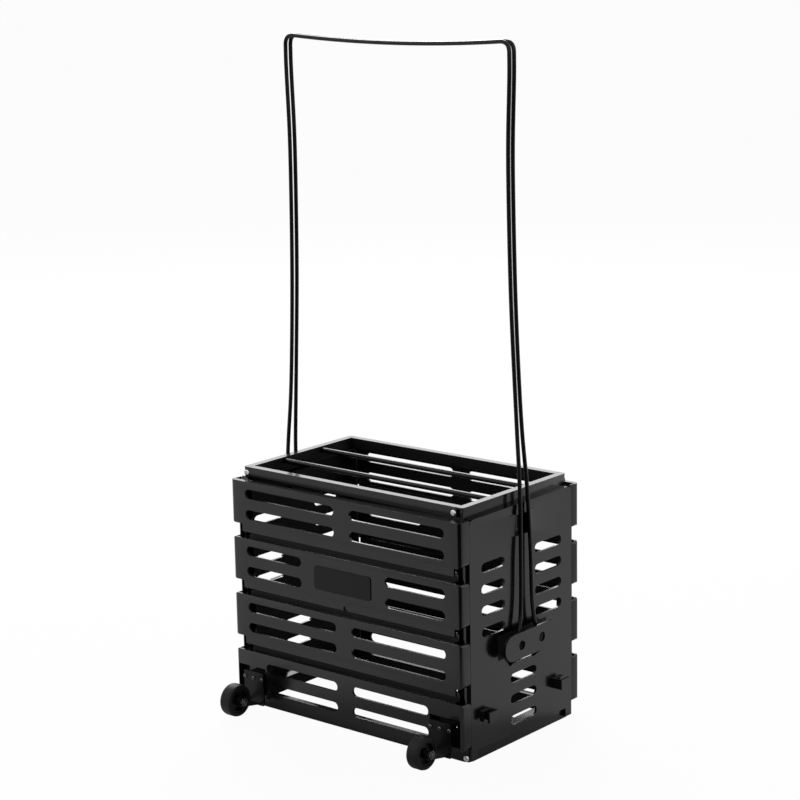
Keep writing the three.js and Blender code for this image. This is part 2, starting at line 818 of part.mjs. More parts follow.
// Casters: a bent bracket with two tapering legs, a bolt and nut, and a wheel with a tyre.
function casterScrewPlaces() {
  const height = casterPlateTop - casterScrewDrop;
  const places = [];
  for (const [sideName, side] of sideNames) {
    for (let index = 0; index < casterScrewCount; index += 1) {
      const along = (index - (casterScrewCount - 1) / 2) * casterScrewSpacing;
      const seat = new THREE.Vector3(
        side * casterCentre + along,
        slatFace - casterPlateThickness,
        height,
      );
      places.push({ label: `${sideName}_${index + 1}`, seat });
    }
  }
  return places;
}

function casterScrewHoles() {
  return casterScrewPlaces().map(({ seat }) => rod(
    casterScrewDiameter + 2 * fitGap,
    new THREE.Vector3(seat.x, seat.y - cutOverrun, seat.z),
    new THREE.Vector3(seat.x, casterPocketFloor + wall + cutOverrun, seat.z),
  ));
}

function casterScrew(seat) {
  const grip = casterPlateThickness + casterPocketDepth + wall;
  const profile = panHeadProfile(casterScrewHeadDiameter, casterScrewHeadHeight, casterScrewDiameter, grip);
  return turned(profile, axisY, seat, smallRoundSteps);
}

const footBottom = seatHeight + casterFootInset;
const legInner = wheelWidth / 2 + legSideGap;
const legOuter = legInner + legThickness;

function casterBracket(side) {
  const centre = side * casterCentre;
  const half = casterPlateWidth / 2;
  const plateFront = slatFace - casterPlateThickness;
  const plateOutline = roundedRectangle(
    centre - half, centre + half, casterPlateBottom, casterPlateTop, casterPlateRadius,
  );
  const plate = prism(plateOutline, 'XZ', plateFront, slatFace);
  const foot = box(
    new THREE.Vector3(centre - half + casterFootInset, slatFace - casterPlateThickness / 2, footBottom),
    new THREE.Vector3(centre + half - casterFootInset, casterPocketFloor, casterPlateTop - casterFootInset),
  );
  const leg = new THREE.Shape();
  const endTurn = legTurnShare * Math.PI;
  leg.moveTo(slatFace - casterPlateThickness / 2, casterPlateTop - legInset);
  leg.absarc(axleDepth, axleHeight, legEndRadius, endTurn, 2 * Math.PI - endTurn, false);
  leg.lineTo(slatFace - casterPlateThickness / 2, casterPlateBottom + legInset);
  const windowSide = plateFront - legWindowInset / 2;
  const windowTip = axleDepth + (plateFront - axleDepth) * legWindowReachShare;
  const windowLow = casterPlateBottom + casterPlateHeight * legWindowLowShare;
  const windowTop = casterPlateBottom + casterPlateHeight * legWindowTopShare;
  const opening = new THREE.Shape();
  opening.moveTo(windowSide, windowTop);
  opening.lineTo(windowTip, (windowLow + windowTop) / 2);
  opening.lineTo(windowSide, windowLow);
  const legWindow = prism(opening, 'YZ', centre - legOuter - cutOverrun, centre + legOuter + cutOverrun);
  const legs = [
    prism(leg, 'YZ', centre - legOuter, centre - legInner, plateEndSteps),
    prism(leg, 'YZ', centre + legInner, centre + legOuter, plateEndSteps),
  ];
  const axleHole = rod(
    axleDiameter + 2 * fitGap,
    new THREE.Vector3(centre - legOuter - cutOverrun, axleDepth, axleHeight),
    new THREE.Vector3(centre + legOuter + cutOverrun, axleDepth, axleHeight),
  );
  return cutBy(joined([plate, foot, ...legs]), [axleHole, legWindow, ...casterScrewHoles()]);
}

function axleBolt(side) {
  const head = axleHeadDiameter / 2;
  const shank = axleDiameter / 2;
  const seat = legOuter + fitGap;
  const end = legOuter + fitGap + nutThickness + axleTail;
  const profile = [
    [0, -seat - axleHeadHeight],
    [head, -seat - axleHeadHeight],
    [head, -seat],
    [shank, -seat],
    [shank, end],
    [0, end],
  ];
  const centre = new THREE.Vector3(side * casterCentre, axleDepth, axleHeight);
  return turned(profile, axisX, centre, smallRoundSteps);
}

function axleNut(side) {
  const outline = new THREE.Shape();
  const sector = 2 * Math.PI / nutSides;
  const cornerRadius = nutAcrossFlats / 2 / Math.cos(sector / 2);
  const corners = Array.from({ length: nutSides }, (_, index) => new THREE.Vector2(
    axleDepth + cornerRadius * Math.cos(index * sector),
    axleHeight + cornerRadius * Math.sin(index * sector),
  ));
  outline.setFromPoints(corners);
  const bore = new THREE.Path();
  bore.absarc(axleDepth, axleHeight, axleDiameter / 2 + fitGap, 0, 2 * Math.PI, false);
  outline.holes.push(bore);
  const seat = side * casterCentre + legOuter + fitGap;
  return prism(outline, 'YZ', seat, seat + nutThickness, plateEndSteps);
}

function wheelTyre(side) {
  const outer = wheelRadius;
  const inner = wheelRadius - tyreThickness;
  const half = wheelWidth / 2;
  const arcRadius = outer - tyreShoulder;
  const arcAlong = half - tyreShoulder;
  const shoulder = [];
  for (let step = 0; step <= shoulderSteps; step += 1) {
    const angle = step / shoulderSteps * Math.PI / 2;
    shoulder.push([
      arcRadius + tyreShoulder * Math.cos(angle),
      arcAlong + tyreShoulder * Math.sin(angle),
    ]);
  }
  const lowerShoulder = shoulder.map(([radius, along]) => [radius, -along]).reverse();
  const profile = [[inner, -half], ...lowerShoulder, ...shoulder, [inner, half], [inner, -half]];
  return turned(profile, axisX, new THREE.Vector3(side * casterCentre, axleDepth, axleHeight));
}

function wheelHub(side) {
  const outer = wheelRadius - tyreThickness - fitGap;
  const rimInner = outer - hubRimThickness;
  const rimHalf = wheelWidth / 2 - hubRimSetback;
  const bossHalf = wheelWidth / 2;
  const webHalf = hubWebThickness / 2;
  const boss = hubBossDiameter / 2;
  const bore = axleDiameter / 2 + fitGap;
  const profile = [
    [bore, -bossHalf],
    [boss, -bossHalf],
    [boss, -webHalf],
    [rimInner, -webHalf],
    [rimInner, -rimHalf],
    [outer, -rimHalf],
    [outer, rimHalf],
    [rimInner, rimHalf],
    [rimInner, webHalf],
    [boss, webHalf],
    [boss, bossHalf],
    [bore, bossHalf],
    [bore, -bossHalf],
  ];
  return turned(profile, axisX, new THREE.Vector3(side * casterCentre, axleDepth, axleHeight));
}

function badgePlate() {
  const half = badgeLength / 2;
  const top = slatsTop - slatPitch - badgeTopDepth;
  const outline = roundedRectangle(-half, half, top - badgeHeight, top, badgeRadius);
  return prism(outline, 'XZ', slatFace - badgeThickness, slatFace);
}

// Materials
const finishes = {
  blackPlastic: { color: 0x2a2a2b, roughness: 0.38, metalness: 0 },
  badgePlastic: { color: 0x232325, roughness: 0.45, metalness: 0 },
  blackWire: { color: 0x1b1b1c, roughness: 0.3, metalness: 0 },
  blackRubber: { color: 0x1d1d1e, roughness: 0.75, metalness: 0 },
  brightSteel: { color: 0xc9cacc, roughness: 0.3, metalness: 1 },
};

const cart = new THREE.Group();

function addPiece(name, solid, finish, turnAboutZ = 0) {
  const mesh = new THREE.Mesh(geometryOf(solid), new THREE.MeshStandardMaterial(finish));
  mesh.name = name;
  mesh.rotation.z = turnAboutZ;
  cart.add(mesh);
}

const halfTurn = Math.PI;

const panel = endPanel();
addPiece('end_panel_right', panel, finishes.blackPlastic);
addPiece('end_panel_left', panel, finishes.blackPlastic, halfTurn);

for (let index = 0; index < slatCount; index += 1) {
  const hasBadgePlace = index === 1;
  const hasCasters = index === slatCount - 1;
  const frontSlat = slat(index, { hasBadgePlace, hasCasters });
  const backSlat = slat(index, { hasBadgePlace, hasCasters: false });
  addPiece(`front_slat_${index + 1}`, frontSlat, finishes.blackPlastic);
  addPiece(`back_slat_${index + 1}`, backSlat, finishes.blackPlastic, halfTurn);
}
addPiece('badge_plate', badgePlate(), finishes.badgePlastic);

function addFrame(prefix, frame) {
  const { frameHalf, turn, barHeight, screwHeight } = frame;
  const screwPlaces = frameScrewPlaces(frameHalf, turn, screwHeight);
  const screwHoles = frameScrewHoles(screwPlaces);
  addPiece(`${prefix}_rail_front`, longRail(-1, frame, screwHoles), finishes.blackPlastic);
  addPiece(`${prefix}_rail_back`, longRail(1, frame, screwHoles), finishes.blackPlastic);
  for (const [sideName, sign] of sideNames) {
    const barHoles = [-1, 1].map((side) => barHole(side, sign, frameHalf, barHeight));
    const rail = endRail(sign, frame, [...barHoles, ...screwHoles]);
    addPiece(`${prefix}_rail_${sideName}`, rail, finishes.blackPlastic);
  }
  addPiece(`${prefix}_bar_front`, bar(-1, frameHalf, barHeight), finishes.blackWire);
  addPiece(`${prefix}_bar_back`, bar(1, frameHalf, barHeight), finishes.blackWire);
  for (const place of screwPlaces) {
    addPiece(`${prefix}_screw_${place.label}`, frameScrew(place), finishes.brightSteel);
  }
}

const totalHeight = slatsTop + topFrameHeight;
addFrame('top', {
  frameHalf: topFrameHalf,
  low: slatsTop,
  high: totalHeight,
  barHeight: totalHeight - barInset,
  screwHeight: totalHeight - topScrewDrop,
  cornerRadius: topCornerRadius,
  turn: 1,
});
addFrame('bottom', {
  frameHalf: bottomFrameHalf,
  low: 0,
  high: seatHeight,
  barHeight: barInset,
  screwHeight: bottomScrewHeight,
  cornerRadius: bottomCornerRadius,
  turn: -1,
});

const handle = handleSolid();
addPiece('front_handle', handle, finishes.blackWire);
addPiece('rear_handle', handle, finishes.blackWire, halfTurn);

for (const [sideName, side] of sideNames) {
  addPiece(`caster_bracket_${sideName}`, casterBracket(side), finishes.blackPlastic);
  addPiece(`axle_bolt_${sideName}`, axleBolt(side), finishes.brightSteel);
  addPiece(`axle_nut_${sideName}`, axleNut(side), finishes.brightSteel);
  addPiece(`wheel_hub_${sideName}`, wheelHub(side), finishes.blackPlastic);
  addPiece(`wheel_tyre_${sideName}`, wheelTyre(side), finishes.blackRubber);
}
for (const { label, seat } of casterScrewPlaces()) {
  addPiece(`caster_screw_${label}`, casterScrew(seat), finishes.brightSteel);
}

// The origin is the middle of the floor under the whole cart, wheels included.
const frontReach = casterReach + wheelRadius;
cart.position.y = frontReach / 2;

export default cart;
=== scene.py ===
"""The looks of a ball cart: a slatted black plastic basket with bars across both mouths, two small
wheels and two wire handles. Lengths named _MM are in millimetres, and everything built is in metres.
The front, with the wheels and the badge plate, faces -Y, and the floor is z = 0."""

import json
import math

import bmesh
import bpy
from mathutils import Matrix, Vector


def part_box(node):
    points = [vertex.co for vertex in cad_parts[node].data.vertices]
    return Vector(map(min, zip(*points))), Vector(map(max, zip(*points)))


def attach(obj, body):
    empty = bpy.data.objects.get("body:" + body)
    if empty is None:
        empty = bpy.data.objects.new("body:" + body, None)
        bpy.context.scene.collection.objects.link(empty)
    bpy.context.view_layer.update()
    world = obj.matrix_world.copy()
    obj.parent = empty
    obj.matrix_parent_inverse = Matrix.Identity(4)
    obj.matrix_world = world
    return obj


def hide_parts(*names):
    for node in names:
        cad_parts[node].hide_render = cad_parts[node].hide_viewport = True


MM = 0.001
AXIS_X = Vector((1, 0, 0))
AXIS_Y = Vector((0, 1, 0))
AXIS_Z = Vector((0, 0, 1))

# Camera, fitted to the basket's corners in the photograph of 800 by 800 pixels
CAMERA_PLACE = Vector((1.71451, -2.0354, 0.98005))
CAMERA_AZIMUTH = 39.761
CAMERA_ELEVATION = 12.339
CAMERA_ROLL = -1.044
CAMERA_REACH = 100
FOCAL_PIXELS = 2271.18
PHOTO_PIXELS = 800
SENSOR_MM = 36

# Floor, a disc with its radius in metres. The camera sees it in this share of plain white, and the
# cart mirrors it as it is lit with this share of white added.
FLOOR_RADIUS = 40
FLOOR_SIDES = 96
WHITE_FLOOR_SHARE = 0.96
MIRRORED_FLOOR_SHARE = 0.12

# A wedge of the floor on the camera's side, painted dark as painted shade for the unlit room there: its
# nearest point to the middle, how far it falls back for each metre aside, and the width of its soft edge
PAINTED_SHADE_WEDGE_START_MM = 360
PAINTED_SHADE_WEDGE_SLOPE = 0.7
PAINTED_SHADE_WEDGE_FADE_MM = 150

# The world's light on the cart, as a share of the white that is seen and mirrored
WORLD_LIGHT_SHARE = 0.4

# Each lamp: its name, its place and aim in metres, its size and its power in watts
LAMPS = [
    ("key_softbox", (-1.9, 2.1, 2.6), (0, 0, 0.3), (2, 2), 128),
    ("back_softbox", (-1.9, 2.4, 1.2), (0, 0, 0.3), (1.8, 0.8), 5),
    ("front_floor_softbox", (-1.1, -1.35, 1.3), (-1, -1.25, 0), (0.9, 0.9), 3.5),
]

# Rounding of the moulded edges and of the axle nuts
PANEL_EDGE_MM = 0.6
RAIL_EDGE_MM = 0.8
SLAT_EDGE_MM = 0.6
BRACKET_EDGE_MM = 0.5
BADGE_EDGE_MM = 0.4
NUT_EDGE_MM = 0.4
EDGE_SEGMENTS = 2

# Faces that meet at less than the flat angle are joined, and an edge above the sharp angle stays sharp
FLAT_ANGLE = math.radians(1)
SHARP_ANGLE = math.radians(35)
MERGE_DISTANCE = 0.001 * MM

# Dull faces of the basket, rougher and with a lower specular level that darkens them as painted shade:
#  those that face its middle from at least this far, and those in the space behind a pivot plate, given
#  by its place along X and its half sizes
BASKET_MIDDLE_MM = 28.4
INWARD_LEAST_MM = 20
PLATE_SPACE_PLACE_MM = 184
PLATE_SPACE_HALF_MM = (6.5, 48, 15)

# Handle wire, with the same route as the solid model. A row of the shares is a point on its side: the
# height above the pivots, the way inward, and the way out from the top spacing to the pivots' spacing.
WIRE_RADIUS_MM = 2.5
WIRE_ROUNDNESS = 6
HANDLE_HEIGHT_MM = 700
PIVOT_HEIGHT_MM = 126.2
PIVOT_SPACING_MM = 39.5
PIN_TIP_MM = 175.95
WIRE_OUTER_MM = 187.15
WIRE_TRAVEL_MM = 20
WIRE_TOP_SPACING_MM = 8.8
PIN_BEND_MM = 4
TOP_BEND_MM = 12
TOP_BAR_SAG_MM = 5.5
WIRE_SIDE_SHARES = [
    (0.051, 0.055, 0.5),
    (0.159, 0.11, 0.33),
    (0.266, 0.25, 0.17),
    (0.351, 0.48, 0.04),
    (0.423, 0.635, 0),
    (0.58, 0.885, 0),
    (0.751, 1, 0),
    (0.837, 1, 0),
    (0.951, 0.875, 0),
]

# Points in a stretch of each curve
BEND_STEPS = 8
SIDE_STEPS = 6
TOP_BAR_STEPS = 24
CORNER_STEPS = 3
WHEEL_CORNER_STEPS = 4

# Round pieces: how many sides each has, its sizes and the rounding of its edges
BAR_SIDES = 32
SCREW_SIDES = 40
WHEEL_SIDES = 72
ON_AXIS_MM = 1e-6
BAR_RADIUS_MM = 3.25
BAR_EDGE_MM = 0.6
AXLE_BOLT_MM = {"head": 9, "height": 2.6, "shank": 6, "edge": 0.8}
WHEEL_RADIUS_MM = 20
WHEEL_WIDTH_MM = 16.5
TYRE_INNER_MM = 15
TYRE_SHOULDER_MM = 3
TYRE_CROWN_MM = 1
TYRE_EDGE_MM = 2
HUB_RIM_MM = {"outer": 14.7, "inner": 12.5, "half_width": 7.45}
HUB_WEB_HALF_MM = 2.5
HUB_BOSS_RADIUS_MM = 6
HUB_BORE_RADIUS_MM = 3.3
HUB_EDGE_MM = 0.5

# Screws: the shares of a head's radius and height that its outline passes through, and its cross recess
FRAME_SCREW_MM = {"head": 8.4, "height": 2.6, "shank": 3.8, "grip": 6}
CASTER_SCREW_MM = {"head": 5, "height": 1.7, "shank": 3, "grip": 5.5}
CROWN_SHARES = [(1, 0), (1, 0.45), (0.75, 0.88), (0, 1)]
CROWN_EDGE_SHARE = 0.2
RECESS_ARM_SHARE = 0.6
RECESS_HALF_WIDTH_SHARE = 0.16
RECESS_DEPTH_SHARE = 0.45
RECESS_CLEARANCE_MM = 1
FRAME_SCREW_TURNS = {"left": 65, "right": 20}
CASTER_SCREW_TURN = 25

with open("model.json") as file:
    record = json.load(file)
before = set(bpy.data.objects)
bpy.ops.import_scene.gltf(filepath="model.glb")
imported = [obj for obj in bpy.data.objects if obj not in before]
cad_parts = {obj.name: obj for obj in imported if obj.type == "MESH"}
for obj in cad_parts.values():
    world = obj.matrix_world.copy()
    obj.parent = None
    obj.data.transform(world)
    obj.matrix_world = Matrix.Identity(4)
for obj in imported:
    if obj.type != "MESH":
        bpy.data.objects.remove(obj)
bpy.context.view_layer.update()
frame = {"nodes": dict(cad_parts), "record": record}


def linear(hex_colour):
    """An sRGB colour such as "#1a1b1c" as linear red, green, blue and alpha."""
    channels = []
    for start in (1, 3, 5):
        value = int(hex_colour[start:start + 2], 16) / 255
        if value <= 0.04045:
            channels.append(value / 12.92)
        else:
            channels.append(((value + 0.055) / 1.055) ** 2.4)
    return (*channels, 1)


def add_node(tree, kind, sockets=None, **settings):
    """Adds a node with its settings, and gives its sockets values or links from other nodes."""
    node = tree.nodes.new(kind)
    for name, setting in settings.items():
        setattr(node, name, setting)
    for socket, value in (sockets or {}).items():
        if isinstance(value, bpy.types.NodeSocket):
            tree.links.new(value, node.inputs[socket])
        else:
            node.inputs[socket].default_value = value
    return node


def blank_material(name):
    """A node material with its default nodes removed, and the object coordinates that patterns use."""
    material = bpy.data.materials.new(name)
    material.use_nodes = True
    tree = material.node_tree
    tree.nodes.clear()
    place = add_node(tree, "ShaderNodeTexCoord").outputs["Object"]
    return material, tree, place


def inward_share(tree, place):
    """1 on the faces that look towards the basket's middle and 0 on all others."""
    normal = add_node(tree, "ShaderNodeTexCoord").outputs["Normal"]
    from_middle = add_node(tree, "ShaderNodeVectorMath", {
        0: place,
        1: (0, BASKET_MIDDLE_MM * MM, 0),
    }, operation="SUBTRACT")
    level = add_node(tree, "ShaderNodeVectorMath", {
        0: from_middle.outputs["Vector"],
        1: (1, 1, 0),
    }, operation="MULTIPLY")
    outward = add_node(tree, "ShaderNodeVectorMath", {
        0: level.outputs["Vector"],
        1: normal,
    }, operation="DOT_PRODUCT")
    return add_node(tree, "ShaderNodeMath", {
        0: outward.outputs["Value"],
        1: -INWARD_LEAST_MM * MM,
    }, operation="LESS_THAN").outputs["Value"]


def behind_plate_share(tree, place):
    """1 in the narrow spaces between the end panels and their pivot plates, where shade falls and the
    basket's finish is darkened as painted shade, and 0 elsewhere.
    """
    from_middle = add_node(tree, "ShaderNodeVectorMath", {
        0: place,
        1: (0, BASKET_MIDDLE_MM * MM, PIVOT_HEIGHT_MM * MM),
    }, operation="SUBTRACT")
    folded = add_node(tree, "ShaderNodeVectorMath", {
        0: from_middle.outputs["Vector"],
    }, operation="ABSOLUTE")
    from_space = add_node(tree, "ShaderNodeVectorMath", {
        0: folded.outputs["Vector"],
        1: (PLATE_SPACE_PLACE_MM * MM, 0, 0),
    }, operation="SUBTRACT")
    offset = add_node(tree, "ShaderNodeVectorMath", {
        0: from_space.outputs["Vector"],
    }, operation="ABSOLUTE")
    spare = add_node(tree, "ShaderNodeVectorMath", {
        0: tuple(half * MM for half in PLATE_SPACE_HALF_MM),
        1: offset.outputs["Vector"],
    }, operation="SUBTRACT")
    parts = add_node(tree, "ShaderNodeSeparateXYZ", {"Vector": spare.outputs["Vector"]})
    across = add_node(tree, "ShaderNodeMath", {
        0: parts.outputs["X"],
        1: parts.outputs["Y"],
    }, operation="MINIMUM")
    least = add_node(tree, "ShaderNodeMath", {
        0: across.outputs["Value"],
        1: parts.outputs["Z"],
    }, operation="MINIMUM")
    return add_node(tree, "ShaderNodeMath", {
        0: least.outputs["Value"],
        1: 0,
    }, operation="GREATER_THAN").outputs["Value"]


def moulded_plastic():
    """Black polypropylene, moulded in a polished tool: a soft gloss that mirrors its neighbours, with a
    fine grain, faint flow marks and slightly uneven walls. The faces inside the basket and behind the
    pivot plates are rougher, as from blasted cores of the tool, and a lower specular level darkens
    them: painted shade for the shade that falls inside the basket and behind the plates. The real
    grain of 0.3 mm is drawn 0.9 mm wide so that it shows."""
    material, tree, place = blank_material("moulded_black_polypropylene")
    dull_and_painted_shade = add_node(tree, "ShaderNodeMath", {
        0: inward_share(tree, place),
        1: behind_plate_share(tree, place),
    }, operation="MAXIMUM").outputs["Value"]
    grain_mm = 0.9
    flow_mm = 70
    wave_mm = 45
    grain = add_node(tree, "ShaderNodeTexNoise", {
        "Vector": place,
        "Scale": 1 / (grain_mm * MM),
        "Detail": 2,
    })
    flow = add_node(tree, "ShaderNodeTexNoise", {
        "Vector": place,
        "Scale": 1 / (flow_mm * MM),
        "Detail": 3,
    })
    wave = add_node(tree, "ShaderNodeTexNoise", {
        "Vector": place,
        "Scale": 1 / (wave_mm * MM),
        "Detail": 0,
    })
    colour = add_node(tree, "ShaderNodeMix", {
        "Factor": flow.outputs["Fac"],
        "A": linear("#09090a"),
        "B": linear("#0e0e0f"),
    }, data_type="RGBA")
    gloss = add_node(tree, "ShaderNodeMapRange", {
        "Value": flow.outputs["Fac"],
        "To Min": 0.15,
        "To Max": 0.21,
    })
    roughness = add_node(tree, "ShaderNodeMix", {
        "Factor": dull_and_painted_shade,
        "A": gloss.outputs["Result"],
        "B": 0.55,
    })
    # The dull faces get a lower specular level, which darkens them: painted shade inside the basket and
    # behind the pivot plates.
    specular = add_node(tree, "ShaderNodeMapRange", {
        "Value": dull_and_painted_shade,
        "To Min": 0.5,
        "To Max": 0.15,
    })
    uneven = add_node(tree, "ShaderNodeBump", {
        "Height": wave.outputs["Fac"],
        "Strength": 0.25,
        "Distance": 0.4 * MM,
    })
    bump = add_node(tree, "ShaderNodeBump", {
        "Height": grain.outputs["Fac"],
        "Strength": 0.15,
        "Distance": 0.05 * MM,
        "Normal": uneven.outputs["Normal"],
    })
    shader = add_node(tree, "ShaderNodeBsdfPrincipled", {
        "Base Color": colour.outputs["Result"],
        "Roughness": roughness.outputs["Result"],
        "Specular IOR Level": specular.outputs["Result"],
        "Normal": bump.outputs["Normal"],
        "IOR": 1.47,
    })
    add_node(tree, "ShaderNodeOutputMaterial", {"Surface": shader.outputs["BSDF"]})
    return material


def caster_nylon():
    """Black glass-filled nylon of the casters' brackets and hubs: deeper black and duller than the
    basket, with a coarser grain. The real grain of 0.4 mm is drawn 1.1 mm wide so that it shows."""
    material, tree, place = blank_material("black_filled_nylon")
    grain_mm = 1.1
    grain = add_node(tree, "ShaderNodeTexNoise", {
        "Vector": place,
        "Scale": 1 / (grain_mm * MM),
        "Detail": 2,
    })
    gloss = add_node(tree, "ShaderNodeMapRange", {
        "Value": grain.outputs["Fac"],
        "To Min": 0.3,
        "To Max": 0.42,
    })
    bump = add_node(tree, "ShaderNodeBump", {
        "Height": grain.outputs["Fac"],
        "Strength": 0.2,
        "Distance": 0.05 * MM,
    })
    shader = add_node(tree, "ShaderNodeBsdfPrincipled", {
        "Base Color": linear("#060607"),
        "Roughness": gloss.outputs["Result"],
        "Normal": bump.outputs["Normal"],
        "IOR": 1.3,
    })
    add_node(tree, "ShaderNodeOutputMaterial", {"Surface": shader.outputs["BSDF"]})
    return material


def badge_plastic():
    """Black ABS plate with a finer, flatter matt than the basket, so it reads as a separate plate. The
    real grain of 0.2 mm is drawn 0.7 mm wide so that it shows."""
    material, tree, place = blank_material("fine_matt_black_abs")
    grain_mm = 0.7
    grain = add_node(tree, "ShaderNodeTexNoise", {
        "Vector": place,
        "Scale": 1 / (grain_mm * MM),
        "Detail": 1,
    })
    gloss = add_node(tree, "ShaderNodeMapRange", {
        "Value": grain.outputs["Fac"],
        "To Min": 0.42,
        "To Max": 0.5,
    })
    bump = add_node(tree, "ShaderNodeBump", {
        "Height": grain.outputs["Fac"],
        "Strength": 0.15,
        "Distance": 0.03 * MM,
    })
    shader = add_node(tree, "ShaderNodeBsdfPrincipled", {
        "Base Color": linear("#08080a"),
        "Roughness": gloss.outputs["Result"],
        "Normal": bump.outputs["Normal"],
        "IOR": 1.3,
    })
    add_node(tree, "ShaderNodeOutputMaterial", {"Surface": shader.outputs["BSDF"]})
    return material


def coated_wire():
    """Black powder coat on round steel wire: deep black and glossy, with an orange peel of 1.6 mm and
    a rubbed patch every 24 mm or so."""
    material, tree, place = blank_material("black_powder_coat")
    peel_mm = 1.6
    rub_mm = 24
    peel = add_node(tree, "ShaderNodeTexNoise", {
        "Vector": place,
        "Scale": 1 / (peel_mm * MM),
        "Detail": 1,
    })
    rub = add_node(tree, "ShaderNodeTexNoise", {
        "Vector": place,
        "Scale": 1 / (rub_mm * MM),
        "Detail": 2,
    })
    colour = add_node(tree, "ShaderNodeMix", {
        "Factor": rub.outputs["Fac"],
        "A": linear("#060607"),
        "B": linear("#0a0a0b"),
    }, data_type="RGBA")
    gloss = add_node(tree, "ShaderNodeMapRange", {
        "Value": rub.outputs["Fac"],
        "To Min": 0.2,
        "To Max": 0.3,
    })
    bump = add_node(tree, "ShaderNodeBump", {
        "Height": peel.outputs["Fac"],
        "Strength": 0.2,
        "Distance": 0.04 * MM,
    })
    shader = add_node(tree, "ShaderNodeBsdfPrincipled", {
        "Base Color": colour.outputs["Result"],
        "Roughness": gloss.outputs["Result"],
        "Normal": bump.outputs["Normal"],
        "IOR": 1.33,
    })
    add_node(tree, "ShaderNodeOutputMaterial", {"Surface": shader.outputs["BSDF"]})
    return material


def tyre_rubber():
    """Black moulded rubber: smooth and dull, with greyer scuffs of about 3 mm where it has rolled."""
    material, tree, place = blank_material("black_moulded_rubber")
    scuff_mm = 3
    scuff = add_node(tree, "ShaderNodeTexNoise", {
        "Vector": place,
        "Scale": 1 / (scuff_mm * MM),
        "Detail": 4,
    })
    colour = add_node(tree, "ShaderNodeMix", {
        "Factor": scuff.outputs["Fac"],
        "A": linear("#0a0a0b"),
        "B": linear("#121213"),
    }, data_type="RGBA")
    gloss = add_node(tree, "ShaderNodeMapRange", {
        "Value": scuff.outputs["Fac"],
        "To Min": 0.45,
        "To Max": 0.6,
    })
    bump = add_node(tree, "ShaderNodeBump", {
        "Height": scuff.outputs["Fac"],
        "Strength": 0.25,
        "Distance": 0.08 * MM,
    })
    shader = add_node(tree, "ShaderNodeBsdfPrincipled", {
        "Base Color": colour.outputs["Result"],
        "Roughness": gloss.outputs["Result"],
        "Normal": bump.outputs["Normal"],
        "IOR": 1.3,
    })
    add_node(tree, "ShaderNodeOutputMaterial", {"Surface": shader.outputs["BSDF"]})
    return material


def plated_steel(name, dark, light):
    """Zinc-plated steel between two greys: bright on the frames' screws, and dulled by the road on the
    casters. It is a little cloudy, as plating is, with clouds of 1.2 mm."""
    material, tree, place = blank_material(name)
    cloud_mm = 1.2
    cloud = add_node(tree, "ShaderNodeTexNoise", {
        "Vector": place,
        "Scale": 1 / (cloud_mm * MM),
        "Detail": 3,
    })
    colour = add_node(tree, "ShaderNodeMix", {
        "Factor": cloud.outputs["Fac"],
        "A": linear(dark),
        "B": linear(light),
    }, data_type="RGBA")
    gloss = add_node(tree, "ShaderNodeMapRange", {
        "Value": cloud.outputs["Fac"],
        "To Min": 0.18,
        "To Max": 0.32,
    })
    shader = add_node(tree, "ShaderNodeBsdfPrincipled", {
        "Base Color": colour.outputs["Result"],
        "Roughness": gloss.outputs["Result"],
        "Metallic": 1,
    })
    add_node(tree, "ShaderNodeOutputMaterial", {"Surface": shader.outputs["BSDF"]})
    return material


FINISHES = {
    "black_plastic": moulded_plastic(),
    "badge_plastic": badge_plastic(),
    "black_wire": coated_wire(),
    "black_rubber": tyre_rubber(),
    "bright_steel": plated_steel("bright_zinc_plating", "#c4c6c9", "#e1e2e4"),
}
CASTER_FINISHES = {
    "black_plastic": caster_nylon(),
    "bright_steel": plated_steel("dulled_zinc_plating", "#4c4d50", "#6a6b6e"),
}
SLOT_OF_NODE = {part["node"]: part["material_slot"] for part in frame["record"]["subparts"]}
BODY_OF_NODE = {
    node: body
    for body, nodes in frame["record"]["behaviour"]["bodies"].items()
    for node in nodes
}


def dress(piece, node):
    """Gives a new piece the finish and the body of the node that it stands for."""
    slot = SLOT_OF_NODE[node]
    finish = FINISHES[slot]
    if node.startswith(("caster", "axle", "wheel_hub")):
        finish = CASTER_FINISHES[slot]
    piece.data.materials.clear()
    piece.data.materials.append(finish)
    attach(piece, BODY_OF_NODE[node])
    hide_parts(node)


def new_piece(name, shape):
    """Makes an object from a bmesh, smooth but for its sharp edges, and frees the bmesh."""
    mesh = bpy.data.meshes.new(name)
    shape.to_mesh(mesh)
    shape.free()
    mesh.shade_smooth()
    mesh.set_sharp_from_angle(angle=SHARP_ANGLE)
    piece = bpy.data.objects.new(name, mesh)
    bpy.context.scene.collection.objects.link(piece)
    return piece


def rounded_copy(node, edge_mm):
    """A moulded piece from the solid's own faces, joined into large flats, with its hard edges
    rounded."""
    source = frame["nodes"][node].data
    shape = bmesh.new()
    corners = [shape.verts.new(vertex.co) for vertex in source.vertices]
    shape.verts.ensure_lookup_table()
    for polygon in source.polygons:
        shape.faces.new([corners[index] for index in polygon.vertices])
    bmesh.ops.remove_doubles(shape, verts=shape.verts, dist=MERGE_DISTANCE)
    bmesh.ops.dissolve_limit(shape, angle_limit=FLAT_ANGLE, verts=shape.verts, edges=shape.edges)
    piece = new_piece(f"{node}_moulded", shape)
    bevel = piece.modifiers.new("rounded edges", "BEVEL")
    bevel.width = edge_mm * MM
    bevel.segments = EDGE_SEGMENTS
    bevel.limit_method = "ANGLE"
    bevel.angle_limit = SHARP_ANGLE
    bevel.harden_normals = True
    dress(piece, node)


def bend(start, corner, end, steps):
    """Points of a smooth bend from start to end about a corner."""
    points = []
    for step in range(steps + 1):
        s = step / steps
        points.append((1 - s) ** 2 * start + 2 * s * (1 - s) * corner + s ** 2 * end)
    return points


